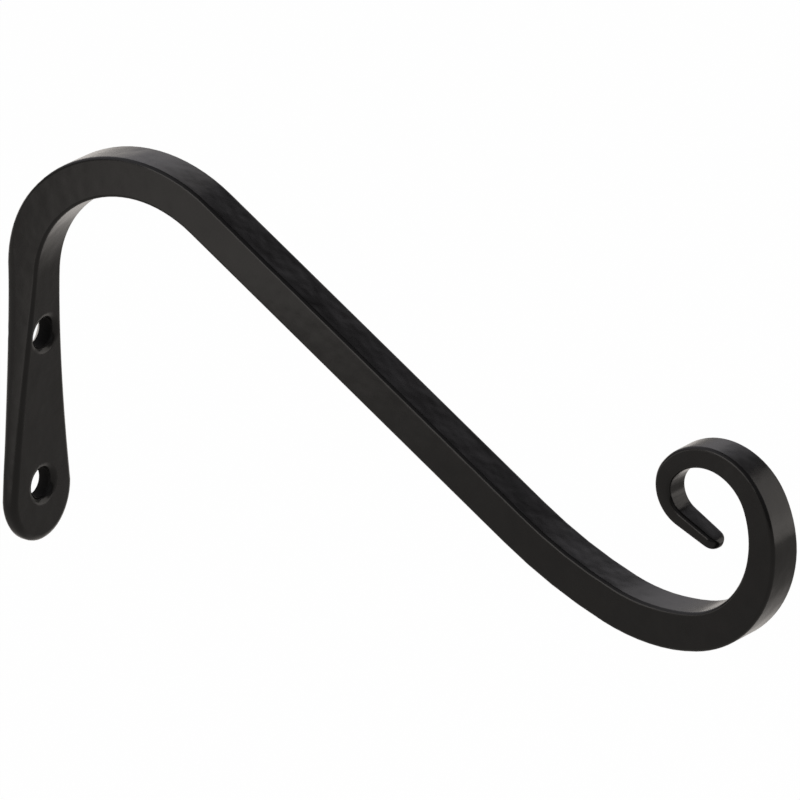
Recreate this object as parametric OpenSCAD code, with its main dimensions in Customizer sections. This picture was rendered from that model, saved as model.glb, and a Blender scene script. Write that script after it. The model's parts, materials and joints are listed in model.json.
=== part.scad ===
// Forged wall hook for hanging plants. One square bar is flattened and drilled at its wall end,
// bent over, run down as a straight arm, and drawn out into a thinning scroll that ends in a flat tip.
// Lengths are millimetres and angles degrees. The wall is the plane x = 0, x points out of the wall,
// z points up, and the origin is midway between the two screw holes.

/* [Bar] */
// Thickness of the bar, measured across the bends
bar_t = 6.5; // [5.5:0.1:8]
// Width of the bar, measured along the wall
bar_w = 6.4; // [5.5:0.1:8]
// Rounding of the bar's long edges
edge_r = 0.6; // [0.3:0.05:1]

/* [Leg and foot] */
// Distance between the two screw holes
hole_spacing = 25.4; // [24:0.2:34]
// Diameter of the screw holes
hole_d = 4.7; // [3.5:0.1:5.4]
// Rounding of each screw hole's front rim
hole_rim_r = 1.1; // [0.3:0.05:1.2]
// Depth of the upper screw hole's countersink on the wall side
upper_relief = 1.5; // [0.2:0.1:1.6]
// Depth of the lower screw hole's countersink on the wall side
lower_relief = 0.1; // [0.1:0.05:0.4]
// Distance from the upper screw hole up to the start of the bend
hole_to_bend = 10.4; // [7:0.1:16]
// Distance from the lower screw hole down to the centre of the foot's round end
hole_to_foot = 1.5; // [1:0.1:4]
// Length of the foot's round end, from its centre down
foot_end_len = 8; // [6.5:0.1:10]
// Width of the foot
foot_w = 14.5; // [12:0.1:18]
// Thickness of the foot at its end
foot_t = 2.75; // [2.2:0.05:3.4]
// Thickness of the leg at the start of the bend, as a share of the bar's
neck_share = 0.9; // [0.8:0.005:1]
// Rounding of the foot's edges, which fades up the leg into the bar's own
foot_edge_r = 1.1; // [0.5:0.05:1.2]
// Reach of the rounding of the upper leg's back edges, along the thickness
back_soft_len = 2; // [0.6:0.1:2.4]
// How late the leg widens: 1 spreads from the bend on, and more keeps it narrow for longer
flare_power = 1.25; // [1:0.05:2]
// How late the leg thickens from the foot up to the bend: 1 is an even taper
leg_thick_power = 1.75; // [1:0.05:2.2]

/* [Bend and arm] */
// Radius inside the bend, next to the leg
bend_leg_r = 14.9; // [10:0.1:24]
// Angle that the bend turns through next to the leg
bend_leg_angle = 42; // [20:1:60]
// Radius inside the bend, next to the arm
bend_arm_r = 20.8; // [12:0.1:30]
// Slope of the arm below level
arm_slope = 32.6; // [20:0.1:40]
// Length of the straight arm
arm_len = 69.8; // [40:0.1:120]

/* [Scroll] */
// Radius of the bar's middle line where the scroll leaves the arm
scroll_lead_r = 78; // [50:0.5:120]
// Angle that the scroll turns through where it leaves the arm
scroll_lead_angle = 14.5; // [8:0.1:24]
// Radius of the middle line where the scroll sweeps under
scroll_sweep_r = 30.7; // [24:0.1:40]
// Angle that it turns through where it sweeps under
scroll_sweep_angle = 29.4; // [20:0.1:40]
// Radius of the middle line round the scroll's front
scroll_front_r = 16.35; // [14:0.05:20]
// Angle that it turns through round the front
scroll_front_angle = 100.8; // [90:0.1:110]
// Radius of the middle line over the scroll's top
scroll_top_r = 9.7; // [8.5:0.1:12]
// Angle that it turns through over the top
scroll_top_angle = 117.4; // [105:0.1:120]
// Radius of the middle line in the scroll's inner curl
scroll_curl_r = 5.05; // [4:0.05:6]
// Angle that it turns through in the inner curl
scroll_curl_angle = 103.3; // [90:0.1:108]

/* [Tip] */
// Length of the straight tip after the inner curl
tip_len = 7.3; // [4:0.1:8]
// Thickness of the bar at the tip
tip_t = 1.8; // [1:0.1:2.4]
// Width of the bar at the tip
tip_w = 3.5; // [3:0.1:5]
// Share of the scroll's length at which the bar starts to get thinner
thin_from_share = 0.31; // [0.1:0.01:0.5]
// How late the bar thins towards the tip: 1 is an even taper
thin_power = 1.1; // [1:0.05:2]
// Share of the scroll's length at which the bar starts to get narrower
narrow_from_share = 0.56; // [0.1:0.01:0.8]

/* [Hidden] */

// Finish: satin black paint
finish_colour = [0.05, 0.05, 0.05];

// Fineness of the surface: degrees per step in the bends, steps per edge, leg, foot end and tip,
// and facets round a hole and steps over its rim
step_angle = 4;
edge_steps = 4;
leg_steps = 24;
foot_steps = 24;
tip_steps = 7;
hole_facets = 64;
rim_steps = 3;

// Heights along the leg
upper_hole_z = hole_spacing / 2;
lower_hole_z = -hole_spacing / 2;
bend_z = upper_hole_z + hole_to_bend;
foot_z = lower_hole_z - hole_to_foot;
foot_end_z = foot_z - foot_end_len;
leg_len = bend_z - foot_z;
neck_t = bar_t * neck_share;

// Roundings never pass this share of the thickness or width that they round
round_share = 0.42;
// How softly the leg's widening dies out at the foot
flare_settle_power = 1.05;
// Share of the leg's height, from the foot up, at which its back edges reach their full softness
soft_full_share = 0.45;
// Last step of the tip's rounding, short of its point
tip_last_angle = 84;
// Extra length of the cutters past the surfaces they cut
cut_past = 1;

// Middle line from the start of the bend to the tip. Each piece is [radius, turn] for an arc,
// with a left turn positive, or [0, length] for a straight run.
bend_arm_angle = 90 + arm_slope - bend_leg_angle;
pieces = [
    [bend_leg_r + bar_t / 2, -bend_leg_angle],
    [bend_arm_r + bar_t / 2, -bend_arm_angle],
    [0, arm_len],
    [scroll_lead_r, scroll_lead_angle],
    [scroll_sweep_r, scroll_sweep_angle],
    [scroll_front_r, scroll_front_angle],
    [scroll_top_r, scroll_top_angle],
    [scroll_curl_r, scroll_curl_angle],
    [0, tip_len - tip_w / 2]
];
first_scroll_piece = 3;

// Length of one piece of the middle line
function piece_length(p) = p[0] == 0 ? p[1] : p[0] * abs(p[1]) * PI / 180;

// Length of the middle line before piece i
function length_before(i) = i == 0 ? 0 : length_before(i - 1) + piece_length(pieces[i - 1]);

// Place [x, z, heading] reached from a place by going along a share of a piece
function go_on(from, p, share) =
    let (heading = from[2] + (p[0] == 0 ? 0 : p[1] * share), side = sign(p[1]))
    p[0] == 0
        ? [from[0] + p[1] * share * cos(heading), from[1] + p[1] * share * sin(heading), heading]
        : [from[0] + side * p[0] * (sin(heading) - sin(from[2])),
           from[1] - side * p[0] * (cos(heading) - cos(from[2])),
           heading];

// Place at the start of piece i
function piece_start(i) = i == 0 ? [bar_t / 2, bend_z, 90] : go_on(piece_start(i - 1), pieces[i - 1], 1);

// Steps that a piece is drawn in
function piece_steps(p) = p[0] == 0 ? 1 : ceil(abs(p[1]) / step_angle);

neck_length = piece_length(pieces[0]);
scroll_start = length_before(first_scroll_piece);
path_length = length_before(len(pieces));
scroll_length = path_length - scroll_start + tip_w / 2;

// Share of the way from a start share to the tip, held between 0 and 1
function taper(s, from_share) =
    let (along = (s - scroll_start) / scroll_length)
    min(1, max(0, (along - from_share) / (1 - from_share)));

// Thickness and width of the bar at a length s along the middle line
function thickness_at(s) = bar_t + (tip_t - bar_t) * pow(taper(s, thin_from_share), thin_power);
function width_at(s) = bar_w + (tip_w - bar_w) * taper(s, narrow_from_share);

// Share of the leg's thinning and softness that is left at a length s along the bend
function neck_left(s) = pow(max(0, 1 - s / neck_length), 2);

// A section of the bar: [x, z, heading, back offset, front offset, width, edge rounding,
// reach of the back edges' rounding along the thickness]
function section(place, back, front, width, rounding, back_reach = 0) =
    let (
        most = round_share * (back + front),
        r = min(rounding, most, round_share * width)
    )
    [place[0], place[1], place[2], back, front, width, r, max(r, min(back_reach, most))];

// Reach of the back edges' rounding where a share of the upper leg's softness is left
function soft_reach(left) = edge_r + (back_soft_len - edge_r) * left;

// Section at a length s along the middle line
function bar_section(place, s) =
    let (t = thickness_at(s), left = neck_left(s))
    section(place, t / 2, t / 2 - (bar_t - neck_t) * left, width_at(s), edge_r, soft_reach(left));

// Share of the way from the foot's end up to the bend at a height z
function height_share(z) = max(0, (z - foot_end_z) / (bend_z - foot_end_z));

// Thickness of the leg and foot at a height z
function leg_thickness(z) = foot_t + (neck_t - foot_t) * pow(height_share(z), leg_thick_power);

// Section of the leg at a share of the way from the foot's centre up to the bend. Its back is on the wall.
function leg_section(share) =
    let (
        z = foot_z + leg_len * share,
        spread = 1 - pow(1 - pow(1 - share, flare_power), flare_settle_power),
        rounding = foot_edge_r + (edge_r - foot_edge_r) * share
    )
    section([bar_t / 2, z, 90], bar_t / 2, leg_thickness(z) - bar_t / 2, bar_w + (foot_w - bar_w) * spread,
            rounding, soft_reach(min(1, share / soft_full_share)));

// Section in the tip's rounded end, at an angle from 0 at its start to 90 at its point
function tip_section(angle) =
    let (
        end = piece_start(len(pieces)),
        place = go_on(end, [0, tip_w / 2], sin(angle)),
        s = path_length + sin(angle) * tip_w / 2,
        half_t = thickness_at(s) * cos(angle) * sqrt(1 + pow(sin(angle), 2)) / 2
    )
    section(place, half_t, half_t, width_at(s) * cos(angle), edge_r);

// All sections in order, from the foot's centre to the tip
sections = concat(
    [for (i = [0 : leg_steps - 1]) leg_section(i / leg_steps)],
    [for (i = [0 : len(pieces) - 1]) let (steps = piece_steps(pieces[i]), start = piece_start(i))
        for (k = [0 : steps - 1])
            bar_section(go_on(start, pieces[i], k / steps),
                        length_before(i) + piece_length(pieces[i]) * k / steps)],
    [for (k = [0 : tip_steps]) tip_section(tip_last_angle * k / tip_steps)]
);

// Outline of a section as [offset towards the back, offset across], for each of its four rounded edges,
// with the middle of the back and of the front as points of their own. Edges 0 and 3 are at the back.
function edge_outline(c, edge) =
    let (at_back = edge == 0 || edge == 3, reach = at_back ? c[7] : c[6])
    [for (k = [0 : edge_steps]) let (angle = 90 * (edge + k / edge_steps))
        [(at_back ? c[3] - reach : reach - c[4]) + reach * cos(angle),
         (edge < 2 ? 1 : -1) * (c[5] / 2 - c[6]) + c[6] * sin(angle)]];
function outline(c) = concat(
    [[c[3], 0]], edge_outline(c, 0), edge_outline(c, 1),
    [[-c[4], 0]], edge_outline(c, 2), edge_outline(c, 3)
);

// Points of a section's outline in space
function ring(c) = [for (p = outline(c)) [c[0] - p[0] * sin(c[2]), p[1], c[1] + p[0] * cos(c[2])]];

// The foot's round end: half of the first section, turned about the foot's centre, drawn out to the end's
// length and thinned towards the end
half_count = 2 * (edge_steps + 1);
ring_count = 2 * half_count + 2;
first_outline = outline(sections[0]);
foot_points = [
    for (k = [1 : foot_steps - 1], j = [1 : half_count])
        let (
            angle = 180 * k / foot_steps,
            z = foot_z - first_outline[j][1] * sin(angle) * foot_end_len / (foot_w / 2)
        )
        [(bar_t / 2 - first_outline[j][0]) * leg_thickness(z) / leg_thickness(foot_z),
         first_outline[j][1] * cos(angle),
         z]
];
foot_base = len(sections) * ring_count;
function foot_index(k, j) =
    k == 0 ? j : k == foot_steps ? ring_count - j : foot_base + (k - 1) * half_count + j - 1;

bar_points = concat([for (c = sections) each ring(c)], foot_points);
bar_faces = concat(
    [for (i = [0 : len(sections) - 2], j = [0 : ring_count - 1])
        let (a = i * ring_count, next = (j + 1) % ring_count)
        [a + j, a + next, a + ring_count + next, a + ring_count + j]],
    [[for (j = [0 : ring_count - 1]) (len(sections) - 1) * ring_count + j]],
    [for (k = [0 : foot_steps - 1], j = [1 : half_count - 1])
        [foot_index(k, j), foot_index(k + 1, j), foot_index(k + 1, j + 1), foot_index(k, j + 1)]],
    [for (k = [0 : foot_steps - 1]) [0, foot_index(k + 1, 1), foot_index(k, 1)]],
    [for (k = [0 : foot_steps - 1])
        [half_count + 1, foot_index(k, half_count), foot_index(k + 1, half_count)]]
);

// Lean of the leg's front face from upright at a height z
function front_lean(z) =
    atan((neck_t - foot_t) * leg_thick_power * pow(height_share(z), leg_thick_power - 1)
         / (bend_z - foot_end_z));

// Place [radius, height] on a hole's rounded rim, from 0 degrees at the bore to 90 at the face z = 0
function rim_point(angle) =
    [hole_d / 2 + hole_rim_r * (1 - cos(angle)), -hole_rim_r * (1 - sin(angle))];

// Cutter that rounds a hole's rim on the face z = 0. Its first and last steps run on past the bore and the face.
module rim_cutter() {
    step = 90 / rim_steps;
    in_bore = 2 * rim_point(0) - rim_point(step);
    above_face = 2 * rim_point(90) - rim_point(90 - step);
    rotate_extrude($fn = hole_facets)
        polygon(concat(
            [[0, in_bore[1]], in_bore],
            [for (k = [1 : rim_steps - 1]) rim_point(k * step)],
            [above_face, [above_face[0], above_face[1] + cut_past], [0, above_face[1] + cut_past]]
        ));
}

// Clearance hole for a wall screw at height z. Its rim is rounded on the leaning front, and a countersink
// of the given depth opens it towards the wall.
module screw_hole(z, relief) {
    translate([-cut_past, 0, z])
        rotate([0, 90, 0])
            cylinder(d = hole_d, h = bar_t + 2 * cut_past, $fn = hole_facets);
    translate([-cut_past, 0, z])
        rotate([0, 90, 0])
            cylinder(d1 = hole_d + 2 * (relief + cut_past), d2 = hole_d - 2 * cut_past,
                     h = relief + 2 * cut_past, $fn = hole_facets);
    translate([leg_thickness(z), 0, z])
        rotate([0, 90 + front_lean(z), 0])
            rim_cutter();
}

// The whole hook
module hook() {
    color(finish_colour)
        difference() {
            polyhedron(points = bar_points, faces = bar_faces, convexity = 6);
            screw_hole(upper_hole_z, upper_relief);
            screw_hole(lower_hole_z, lower_relief);
        }
}

hook();
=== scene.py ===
"""Looks of the forged plant hook: satin black paint, a white studio and the photo's view."""
import json
import math

import bpy
import numpy as np
from mathutils import Matrix, Vector


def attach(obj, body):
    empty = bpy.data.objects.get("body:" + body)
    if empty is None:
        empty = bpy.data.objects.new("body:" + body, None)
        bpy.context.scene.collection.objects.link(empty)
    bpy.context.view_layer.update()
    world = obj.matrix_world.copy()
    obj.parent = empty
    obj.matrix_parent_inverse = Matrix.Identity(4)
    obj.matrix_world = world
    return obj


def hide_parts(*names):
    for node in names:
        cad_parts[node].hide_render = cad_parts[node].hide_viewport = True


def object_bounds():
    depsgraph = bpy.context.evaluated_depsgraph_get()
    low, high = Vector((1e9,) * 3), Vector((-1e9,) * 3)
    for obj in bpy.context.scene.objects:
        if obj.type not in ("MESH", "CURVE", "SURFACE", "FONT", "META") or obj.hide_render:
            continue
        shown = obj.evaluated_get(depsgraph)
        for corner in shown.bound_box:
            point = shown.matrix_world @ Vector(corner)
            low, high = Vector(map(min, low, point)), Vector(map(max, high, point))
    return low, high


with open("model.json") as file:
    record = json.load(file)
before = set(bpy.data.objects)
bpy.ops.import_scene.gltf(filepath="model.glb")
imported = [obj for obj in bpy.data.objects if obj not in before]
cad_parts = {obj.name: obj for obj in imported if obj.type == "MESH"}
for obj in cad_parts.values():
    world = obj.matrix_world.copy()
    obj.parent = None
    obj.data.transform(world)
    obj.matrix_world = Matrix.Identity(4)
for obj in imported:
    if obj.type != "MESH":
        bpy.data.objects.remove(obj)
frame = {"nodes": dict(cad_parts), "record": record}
cad_low, cad_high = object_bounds()
bpy.context.scene.view_settings.view_transform = "Standard"

MM = 0.001

# The photo's view: where the camera aims, how far away it stands and how it is turned
AIM = Vector((0.07073, 0.00464, 0.01428))
CAMERA_DISTANCE = 1.7888
CAMERA_LENS_MM = 529.9
SENSOR_MM = 36.0
AZIMUTH = math.radians(38.503)
ELEVATION = math.radians(21.219)
ROLL = math.radians(-1.878)
NEAREST_SEEN = 0.05
FARTHEST_SEEN = 50.0

# The screw holes, from the record's mount, and how softly the painted shade and dullness inside them end at
# the rim
screws = next(mount for mount in frame["record"]["mounts"] if mount["name"] == "wall_screws")
HOLE_HALF_SPACING = screws["dims"]["spacing_y_mm"] / 2 * MM
HOLE_RADIUS = screws["dims"]["hole_r_mm"] * MM
HOLE_BLEND = 0.15 * MM

# The leg: how far it reaches out from the wall, and the height at which the bend starts
LEG_REACH = 7.0 * MM
BEND_START = 23.1 * MM

# The leg's front: its faces point away from the wall, hardly sideways, and lean along a gentle curve
FRONT_OUT_LEAST = 0.97
FRONT_SIDE_MOST = 0.10
FRONT_LEAN_LOW = -0.15
FRONT_LEAN_HIGH = 0.05
LEAN_CURVE_POWER = 3

# How the solid's triangles are merged and smoothed
MERGE_DISTANCE = 0.002 * MM
SHARP_ANGLE = math.radians(40)
FACE_WEIGHT = 60

# The paint's colours and roughness on the bar, and inside the holes a near-black painted shade with dull
# roughness
PAINT_DARK = (0.0070, 0.0068, 0.0066, 1.0)
PAINT_LIGHT = (0.0130, 0.0125, 0.0122, 1.0)
PAINT_SMOOTH = 0.21
PAINT_DULL = 0.29
HOLE_PAINTED_SHADE = (0.0025, 0.0024, 0.0023, 1.0)
HOLE_DULL = 0.9

# The paint's patterns: scales are per metre, heights are metres, and noise is used between two values
NOISE_LOW = 0.3
NOISE_HIGH = 0.7
MOTTLE_SCALE = 260.0
MOTTLE_DETAIL = 3.0
MOTTLE_ROUGHNESS = 0.6
CLOUD_SCALE = 45.0
PEEL_SCALE = 900.0
PEEL_STRENGTH = 0.35
PEEL_HEIGHT = 0.03 * MM
WAVE_SCALE = 190.0
WAVE_STRENGTH = 0.8
WAVE_HEIGHT = 0.2 * MM

# Light colours
PLAIN_WHITE = (1.0, 1.0, 1.0, 1.0)
WARM_WHITE = (1.0, 0.945, 0.895, 1.0)
COOL_WHITE = (0.98, 0.95, 1.0, 1.0)

# The floor: how far below the hook it lies, its side, its light, and the matt grey that takes the shadow
FLOOR_DROP = 0.30
FLOOR_SIDE = 24.0
FLOOR_WHITE = 0.99
FLOOR_DIM_LEVEL = 0.30
FLOOR_MATT = (0.04, 0.04, 0.04, 1.0)

# The white sweep that reflections show behind the hook and to its left. Its sides are places on the floor
# and directions in the room alike, and it gets lighter with height and then ends.
SWEEP_LEFT = -0.12
SWEEP_RIGHT = 0.30
SWEEP_FRONT = 0.08
SWEEP_BACK = 0.35
SWEEP_LOW_Z = 0.10
SWEEP_HIGH_Z = 0.35
SWEEP_LOW_LEVEL = 0.30
SWEEP_HIGH_LEVEL = 0.70
SWEEP_FADE_Z = 0.62
SWEEP_END_Z = 0.70

# The soft ceiling that reflections show overhead and in front, lighter to the left, and the dim rest
CEILING_LEFT = -0.60
CEILING_RIGHT = 0.10
CEILING_LEFT_LEVEL = 0.55
CEILING_RIGHT_LEVEL = 0.12
CEILING_LOW_Z = 0.05
CEILING_HIGH_Z = 0.40
CEILING_FADE_Y = 0.15
CEILING_END_Y = 0.40
ROOM_DIM_LEVEL = 0.05


def deselect_all():
    bpy.ops.object.select_all(action="DESELECT")


def make_active(piece):
    deselect_all()
    piece.select_set(True)
    bpy.context.view_layer.objects.active = piece


def add_node(tree, kind, **settings):
    node = tree.nodes.new(kind)
    for name, value in settings.items():
        setattr(node, name, value)
    return node


def noise(tree, place, scale, detail=2.0, roughness=0.5):
    texture = add_node(tree, "ShaderNodeTexNoise")
    texture.inputs["Scale"].default_value = scale
    texture.inputs["Detail"].default_value = detail
    texture.inputs["Roughness"].default_value = roughness
    tree.links.new(place, texture.inputs["Vector"])
    return texture.outputs["Fac"]


def remap(tree, value, from_low, from_high, to_low, to_high):
    node = add_node(tree, "ShaderNodeMapRange", clamp=True)
    tree.links.new(value, node.inputs["Value"])
    node.inputs["From Min"].default_value = from_low
    node.inputs["From Max"].default_value = from_high
    node.inputs["To Min"].default_value = to_low
    node.inputs["To Max"].default_value = to_high
    return node.outputs["Result"]


def blend_colours(tree, share, first, second):
    """The first colour at a share of 0, the second at 1: each a plain colour or another node's output."""
    node = add_node(tree, "ShaderNodeMix", data_type="RGBA")
    tree.links.new(share, node.inputs["Factor"])
    for name, colour in (("A", first), ("B", second)):
        if isinstance(colour, bpy.types.NodeSocket):
            tree.links.new(colour, node.inputs[name])
        else:
            node.inputs[name].default_value = colour
    return node.outputs["Result"]


def blend_levels(tree, share, first, second):
    node = add_node(tree, "ShaderNodeMix", data_type="FLOAT")
    tree.links.new(share, node.inputs["Factor"])
    tree.links.new(first, node.inputs["A"])
    node.inputs["B"].default_value = second
    return node.outputs["Result"]


def join_values(tree, operation, first, second):
    node = add_node(tree, "ShaderNodeMath", operation=operation)
    tree.links.new(first, node.inputs[0])
    tree.links.new(second, node.inputs[1])
    return node.outputs["Value"]


def multiply(tree, first, second):
    return join_values(tree, "MULTIPLY", first, second)


def larger(tree, first, second):
    return join_values(tree, "MAXIMUM", first, second)


def split_axes(tree, vector):
    node = add_node(tree, "ShaderNodeSeparateXYZ")
    tree.links.new(vector, node.inputs["Vector"])
    return node.outputs["X"], node.outputs["Y"], node.outputs["Z"]


def bump(tree, height, strength, distance):
    node = add_node(tree, "ShaderNodeBump")
    node.inputs["Strength"].default_value = strength
    node.inputs["Distance"].default_value = distance
    tree.links.new(height, node.inputs["Height"])
    return node


def hole_painted_shade_share(tree, place):
    """1 inside the two screw holes, where shade is painted in as near black with dull roughness, and 0
    elsewhere.
    """
    x, y, z = split_axes(tree, place)
    height = add_node(tree, "ShaderNodeMath", operation="ABSOLUTE")
    tree.links.new(z, height.inputs[0])
    from_axis = add_node(tree, "ShaderNodeMath", operation="SUBTRACT")
    tree.links.new(height.outputs["Value"], from_axis.inputs[0])
    from_axis.inputs[1].default_value = HOLE_HALF_SPACING
    across = add_node(tree, "ShaderNodeCombineXYZ")
    tree.links.new(y, across.inputs["Y"])
    tree.links.new(from_axis.outputs["Value"], across.inputs["Z"])
    radius = add_node(tree, "ShaderNodeVectorMath", operation="LENGTH")
    tree.links.new(across.outputs["Vector"], radius.inputs[0])
    inside = remap(tree, radius.outputs["Value"], HOLE_RADIUS, HOLE_RADIUS + HOLE_BLEND, 1.0, 0.0)
    on_leg = remap(tree, x, LEG_REACH, LEG_REACH + HOLE_BLEND, 1.0, 0.0)
    return multiply(tree, inside, on_leg)


def satin_black_paint():
    """Satin black paint over forged steel: faint mottling, a fine orange peel and soft hammer waves."""
    material = bpy.data.materials.new("satin_black_paint")
    material.use_nodes = True
    tree = material.node_tree
    tree.nodes.clear()
    out = add_node(tree, "ShaderNodeOutputMaterial")
    paint = add_node(tree, "ShaderNodeBsdfPrincipled")
    tree.links.new(paint.outputs["BSDF"], out.inputs["Surface"])
    place = add_node(tree, "ShaderNodeTexCoord").outputs["Object"]
    in_shaded_hole = hole_painted_shade_share(tree, place)

    mottle = noise(tree, place, MOTTLE_SCALE, MOTTLE_DETAIL, MOTTLE_ROUGHNESS)
    tone = remap(tree, mottle, NOISE_LOW, NOISE_HIGH, 0.0, 1.0)
    colour = blend_colours(tree, tone, PAINT_DARK, PAINT_LIGHT)
    # Near black inside the screw holes: painted shade for the deep bores
    tree.links.new(blend_colours(tree, in_shaded_hole, colour, HOLE_PAINTED_SHADE), paint.inputs["Base Color"])

    cloud = noise(tree, place, CLOUD_SCALE)
    roughness = remap(tree, cloud, NOISE_LOW, NOISE_HIGH, PAINT_SMOOTH, PAINT_DULL)
    tree.links.new(blend_levels(tree, in_shaded_hole, roughness, HOLE_DULL), paint.inputs["Roughness"])

    peel = bump(tree, noise(tree, place, PEEL_SCALE), PEEL_STRENGTH, PEEL_HEIGHT)
    waves = bump(tree, noise(tree, place, WAVE_SCALE), WAVE_STRENGTH, WAVE_HEIGHT)
    tree.links.new(waves.outputs["Normal"], peel.inputs["Normal"])
    tree.links.new(peel.outputs["Normal"], paint.inputs["Normal"])
    return material


def is_leg_front(face):
    on_leg = face.center.x < LEG_REACH and face.center.z < BEND_START
    faces_out = face.normal.x > FRONT_OUT_LEAST and abs(face.normal.y) < FRONT_SIDE_MOST
    return on_leg and faces_out and FRONT_LEAN_LOW < face.normal.z < FRONT_LEAN_HIGH


def even_leg_front(mesh):
    """Shades the leg's front as one surface: its long triangles take the front's lean at their height."""
    front = [face for face in mesh.polygons if is_leg_front(face)]
    heights = [face.center.z for face in front]
    leans = [face.normal.z / face.normal.x for face in front]
    weights = [math.sqrt(face.area) for face in front]
    lean_at = np.poly1d(np.polyfit(heights, leans, LEAN_CURVE_POWER, w=weights))
    normals = [Vector(corner.vector) for corner in mesh.corner_normals]
    for face in front:
        for corner in face.loop_indices:
            height = mesh.vertices[mesh.loops[corner].vertex_index].co.z
            normals[corner] = Vector((1.0, 0.0, lean_at(height))).normalized()
    mesh.normals_split_custom_set(normals)


def painted_hook(material):
    """The hook's solid as one smooth painted surface: its triangles merged, its curves shaded as curves."""
    make_active(frame["nodes"]["hook"])
    bpy.ops.object.duplicate()
    piece = bpy.context.view_layer.objects.active
    piece.name = "painted_hook"
    piece.data.name = "painted_hook"
    bpy.ops.object.mode_set(mode="EDIT")
    bpy.ops.mesh.select_all(action="SELECT")
    bpy.ops.mesh.customdata_custom_splitnormals_clear()
    bpy.ops.mesh.remove_doubles(threshold=MERGE_DISTANCE)
    bpy.ops.mesh.normals_make_consistent(inside=False)
    bpy.ops.object.mode_set(mode="OBJECT")
    bpy.ops.object.shade_smooth_by_angle(angle=SHARP_ANGLE)
    soft = piece.modifiers.new("even_faces", "WEIGHTED_NORMAL")
    soft.keep_sharp = True
    soft.weight = FACE_WEIGHT
    bpy.ops.object.modifier_apply(modifier=soft.name)
    even_leg_front(piece.data)
    piece.data.materials.clear()
    piece.data.materials.append(material)
    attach(piece, "root")
    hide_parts("hook")
    return piece


def background_shares(tree, reflected):
    """Two shares: 1 for a ray that sees the background directly or through glass, and how white it is.

    A reflection sees the background as white as the reflected share says, and other light sees it dim.
    """
    rays = add_node(tree, "ShaderNodeLightPath")
    direct = larger(tree, rays.outputs["Is Camera Ray"], rays.outputs["Is Transmission Ray"])
    mirrored = multiply(tree, rays.outputs["Is Glossy Ray"], reflected)
    return direct, larger(tree, direct, mirrored)


def behind_left(tree, x, y):
    """Share of the white sweep at a place or in a direction: it stands behind the hook and to its left."""
    left = remap(tree, x, SWEEP_LEFT, SWEEP_RIGHT, 1.0, 0.0)
    behind = remap(tree, y, SWEEP_FRONT, SWEEP_BACK, 0.0, 1.0)
    return multiply(tree, left, behind)


def white_floor():
    """A floor below the hook: white where it is seen, with a faint shadow, and the sweep in reflections."""
    deselect_all()
    bpy.ops.mesh.primitive_plane_add(size=FLOOR_SIDE, location=(0.0, 0.0, cad_low.z - FLOOR_DROP))
    floor = bpy.context.view_layer.objects.active
    floor.name = "floor"
    bpy.ops.object.transform_apply(location=True, rotation=False, scale=False)
    material = bpy.data.materials.new("white_floor")
    material.use_nodes = True
    tree = material.node_tree
    tree.nodes.clear()
    out = add_node(tree, "ShaderNodeOutputMaterial")
    matt = add_node(tree, "ShaderNodeBsdfDiffuse")
    matt.inputs["Color"].default_value = FLOOR_MATT
    glow = add_node(tree, "ShaderNodeEmission")
    x, y, _ = split_axes(tree, add_node(tree, "ShaderNodeTexCoord").outputs["Object"])
    direct, white = background_shares(tree, behind_left(tree, x, y))
    tree.links.new(remap(tree, white, 0.0, 1.0, FLOOR_DIM_LEVEL, FLOOR_WHITE), glow.inputs["Strength"])
    tree.links.new(blend_colours(tree, direct, WARM_WHITE, PLAIN_WHITE), glow.inputs["Color"])
    both = add_node(tree, "ShaderNodeAddShader")
    tree.links.new(glow.outputs["Emission"], both.inputs[0])
    tree.links.new(matt.outputs["BSDF"], both.inputs[1])
    tree.links.new(both.outputs["Shader"], out.inputs["Surface"])
    floor.data.materials.append(material)
    return floor


def white_surroundings():
    """The room: white where it is seen. Reflections show the sweep, the ceiling and a dim rest."""
    world = bpy.data.worlds.new("studio")
    bpy.context.scene.world = world
    world.use_nodes = True
    tree = world.node_tree
    tree.nodes.clear()
    out = add_node(tree, "ShaderNodeOutputWorld")
    x, y, z = split_axes(tree, add_node(tree, "ShaderNodeTexCoord").outputs["Generated"])
    below_end = remap(tree, z, SWEEP_FADE_Z, SWEEP_END_Z, 1.0, 0.0)
    sweep = multiply(tree, behind_left(tree, x, y), below_end)
    sweep_level = remap(tree, z, SWEEP_LOW_Z, SWEEP_HIGH_Z, SWEEP_LOW_LEVEL, SWEEP_HIGH_LEVEL)
    above = remap(tree, z, CEILING_LOW_Z, CEILING_HIGH_Z, 0.0, 1.0)
    ceiling = multiply(tree, above, remap(tree, y, CEILING_FADE_Y, CEILING_END_Y, 1.0, 0.0))
    ceiling_level = remap(tree, x, CEILING_LEFT, CEILING_RIGHT, CEILING_LEFT_LEVEL, CEILING_RIGHT_LEVEL)
    reflected = larger(tree, multiply(tree, sweep, sweep_level), multiply(tree, ceiling, ceiling_level))
    direct, white = background_shares(tree, reflected)
    tint = blend_colours(tree, remap(tree, z, SWEEP_LOW_Z, SWEEP_HIGH_Z, 0.0, 1.0), WARM_WHITE, COOL_WHITE)
    room = add_node(tree, "ShaderNodeBackground")
    tree.links.new(remap(tree, white, 0.0, 1.0, ROOM_DIM_LEVEL, 1.0), room.inputs["Strength"])
    tree.links.new(blend_colours(tree, direct, tint, PLAIN_WHITE), room.inputs["Color"])
    tree.links.new(room.outputs["Background"], out.inputs["Surface"])
    return world


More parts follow.
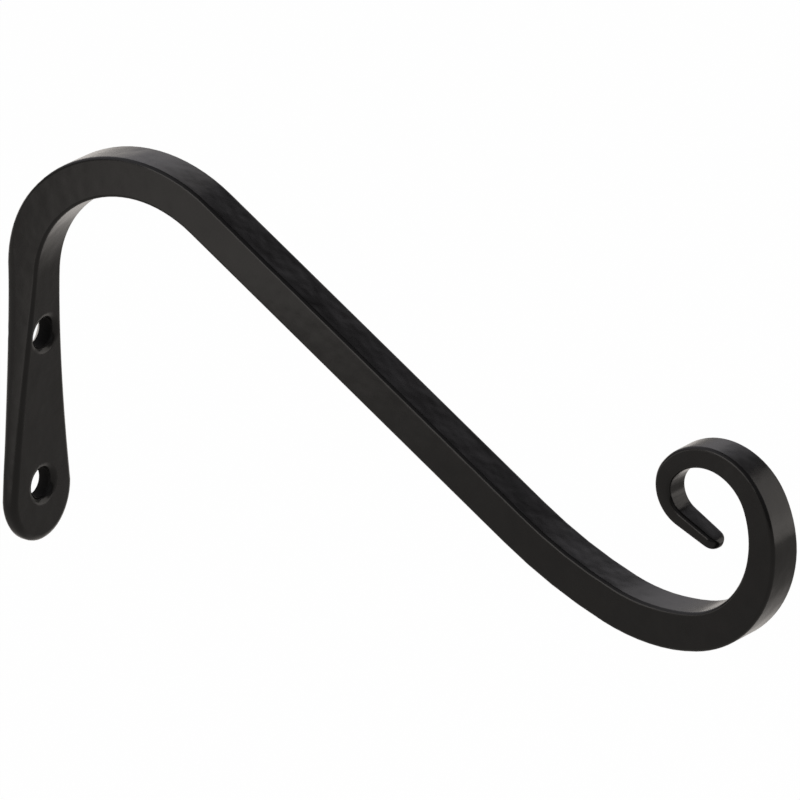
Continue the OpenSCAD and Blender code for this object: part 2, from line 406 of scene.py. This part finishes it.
def soft_lamp(name, place, aim, width, height, watts):
    """A soft lamp that faces a point and isn't seen itself."""
    light = bpy.data.lights.new(name, "AREA")
    light.shape = "RECTANGLE"
    light.size = width
    light.size_y = height
    light.energy = watts
    light.color = WARM_WHITE[:3]
    lamp = bpy.data.objects.new(name, light)
    bpy.context.scene.collection.objects.link(lamp)
    lamp.location = place
    lamp.rotation_mode = "QUATERNION"
    lamp.rotation_quaternion = (Vector(aim) - Vector(place)).to_track_quat("-Z", "Y")
    lamp.visible_camera = False
    return lamp


def studio_lamps():
    """Three small cards close to the hook and two large lamps."""
    middle = (cad_low + cad_high) / 2
    # The near face, most at the bend
    soft_lamp("near_card", place=(-0.036, -0.140, 0.006), aim=(0.034, -0.052, 0.049),
              width=0.106, height=0.086, watts=0.0125)
    # The top of the bend where it comes up from the leg
    soft_lamp("left_card", place=(-0.19, 0.22, 0.055), aim=middle,
              width=0.16, height=0.16, watts=0.038)
    # The top of the bend where it goes over into the arm
    soft_lamp("shoulder_card", place=(-0.04, 0.18, 0.195), aim=(0.035, 0.0, 0.045),
              width=0.12, height=0.12, watts=0.010)
    # The hook as a whole, from the front
    soft_lamp("front_lamp", place=(-0.25, -1.10, 0.35), aim=middle,
              width=0.8, height=0.6, watts=2.0)
    # The outer face of the scroll
    soft_lamp("right_lamp", place=(0.90, 0.91, 0.30), aim=middle,
              width=0.8, height=1.2, watts=2.9)


def photo_camera():
    """The camera at the photo's place, turned and framed as the photo is."""
    data = bpy.data.cameras.new("photo_view")
    data.sensor_width = SENSOR_MM
    data.lens = CAMERA_LENS_MM
    data.clip_start = NEAREST_SEEN
    data.clip_end = FARTHEST_SEEN
    camera = bpy.data.objects.new("photo_view", data)
    bpy.context.scene.collection.objects.link(camera)
    towards = Vector((math.sin(AZIMUTH) * math.cos(ELEVATION),
                      -math.cos(AZIMUTH) * math.cos(ELEVATION),
                      math.sin(ELEVATION)))
    right = Vector((math.cos(AZIMUTH), math.sin(AZIMUTH), 0.0))
    up = towards.cross(right)
    turned_right = right * math.cos(ROLL) + up * math.sin(ROLL)
    turned_up = up * math.cos(ROLL) - right * math.sin(ROLL)
    turn = Matrix((turned_right, turned_up, towards)).transposed()
    camera.matrix_world = Matrix.Translation(AIM + towards * CAMERA_DISTANCE) @ turn.to_4x4()
    bpy.context.scene.camera = camera
    return camera


painted_hook(satin_black_paint())
white_floor()
white_surroundings()
studio_lamps()
photo_camera()
